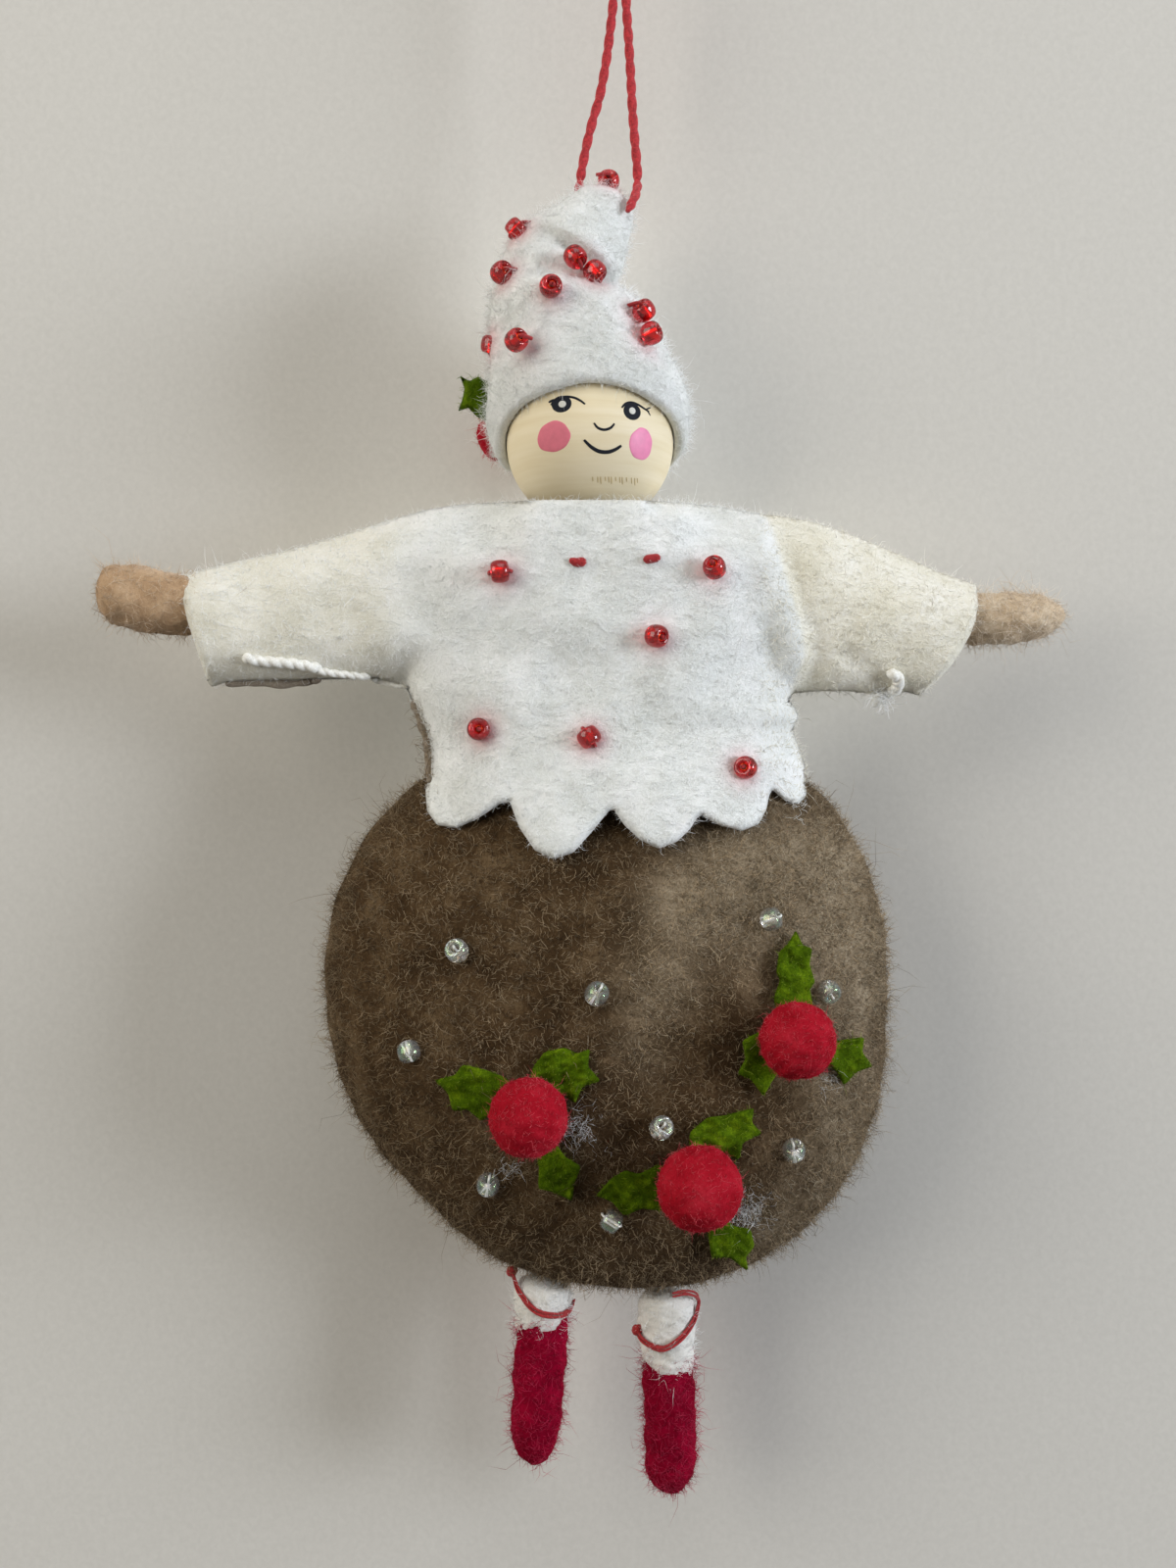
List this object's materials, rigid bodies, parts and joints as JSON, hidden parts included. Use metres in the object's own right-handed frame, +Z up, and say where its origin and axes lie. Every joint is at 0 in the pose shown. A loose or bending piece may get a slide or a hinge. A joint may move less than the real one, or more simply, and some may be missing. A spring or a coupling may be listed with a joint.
{
  "type": "hanging felt pixie ornament",
  "caption": "Hanging felt pixie ornament: wooden ball head, wrapped wool hat, felt shirt, stuffed round pudding belly with beads and holly, bendable arms and legs.",
  "frame": {"origin": "top inside of the hanging cord's eye, where a hook carries it", "axes": "+Z up, +X to the viewer's right, the face looks to -Y"},
  "size_m": [0.1188, 0.0367, 0.2134],
  "materials": {
    "red_cord": "matte",
    "white_felt": "matte",
    "turned_wood": "satin",
    "steel_wire": "satin",
    "stuffing": "matte",
    "tan_wool": "matte",
    "brown_felt": "matte",
    "white_wool": "matte",
    "crimson_wool": "matte",
    "red_thread": "matte",
    "red_glass": "gloss",
    "clear_glass": "gloss",
    "green_felt": "matte",
    "berry_wool": "matte"
  },
  "bodies": {
    "hanging_loop": {"hanging_cord": "red_cord", "cord_knot": "red_cord"},
    "head": {"hat": "white_felt", "head": "turned_wood", "hat_leaf": "green_felt", "hat_berry": "berry_wool", "hat_bead_tip": "red_glass", "hat_bead_1": "red_glass", "hat_bead_2": "red_glass", "hat_bead_3": "red_glass", "hat_bead_4": "red_glass", "hat_bead_5": "red_glass", "hat_bead_6": "red_glass", "hat_bead_7": "red_glass", "hat_bead_8": "red_glass", "hat_bead_9": "red_glass"},
    "torso": {"body_wire": "steel_wire", "shoulder_wire": "steel_wire", "hip_wire": "steel_wire", "shirt_front": "white_felt", "shirt_back": "white_felt", "torso_stuffing": "stuffing", "pudding_front": "brown_felt", "pudding_back": "brown_felt", "pudding_stuffing": "stuffing", "holly_sprig_1": "green_felt", "holly_sprig_2": "green_felt", "holly_sprig_3": "green_felt", "berry_1": "berry_wool", "berry_2": "berry_wool", "berry_3": "berry_wool", "shirt_bead_1": "red_glass", "shirt_bead_2": "red_glass", "shirt_bead_3": "red_glass", "shirt_bead_4": "red_glass", "shirt_bead_5": "red_glass", "shirt_bead_6": "red_glass", "pudding_bead_1": "clear_glass", "pudding_bead_2": "clear_glass", "pudding_bead_3": "clear_glass", "pudding_bead_4": "clear_glass", "pudding_bead_5": "clear_glass", "pudding_bead_6": "clear_glass", "pudding_bead_7": "clear_glass", "pudding_bead_8": "clear_glass", "pudding_bead_9": "clear_glass"},
    "left_arm": {"left_arm": "tan_wool", "left_arm_wire": "steel_wire", "left_sleeve": "white_felt"},
    "right_arm": {"right_arm": "tan_wool", "right_arm_wire": "steel_wire", "right_sleeve": "white_felt"},
    "left_leg": {"left_leg": "white_wool", "left_leg_wire": "steel_wire", "left_leg_thread": "red_thread", "left_boot": "crimson_wool"},
    "right_leg": {"right_leg": "white_wool", "right_leg_wire": "steel_wire", "right_leg_thread": "red_thread", "right_boot": "crimson_wool"}
  },
  "joints": [
    {"name": "cord_swing", "type": "hinge", "parent": "hanging_loop", "child": "head", "pos_m": [0, 0, -0.0519], "axis": [1, 0, 0], "range_deg": [-50, 50]},
    {"name": "head_turn", "type": "hinge", "parent": "head", "child": "torso", "pos_m": [-0.00204, 0, -0.08304], "axis": [0, 0, 1], "range_deg": [-40, 40]},
    {"name": "left_arm_raise", "type": "hinge", "parent": "torso", "child": "left_arm", "pos_m": [-0.021, 0, -0.1033], "axis": [0, 1, 0], "range_deg": [-40, 40], "deforming": ["left_sleeve"]},
    {"name": "right_arm_raise", "type": "hinge", "parent": "torso", "child": "right_arm", "pos_m": [0.021, 0, -0.10404], "axis": [0, -1, 0], "range_deg": [-40, 40], "deforming": ["right_sleeve"]},
    {"name": "left_leg_swing", "type": "hinge", "parent": "torso", "child": "left_leg", "pos_m": [-0.00792, 0, -0.18771], "axis": [1, 0, 0], "range_deg": [-40, 40]},
    {"name": "right_leg_swing", "type": "hinge", "parent": "torso", "child": "right_leg", "pos_m": [0.0075, 0, -0.18909], "axis": [1, 0, 0], "range_deg": [-40, 40]}
  ]
}
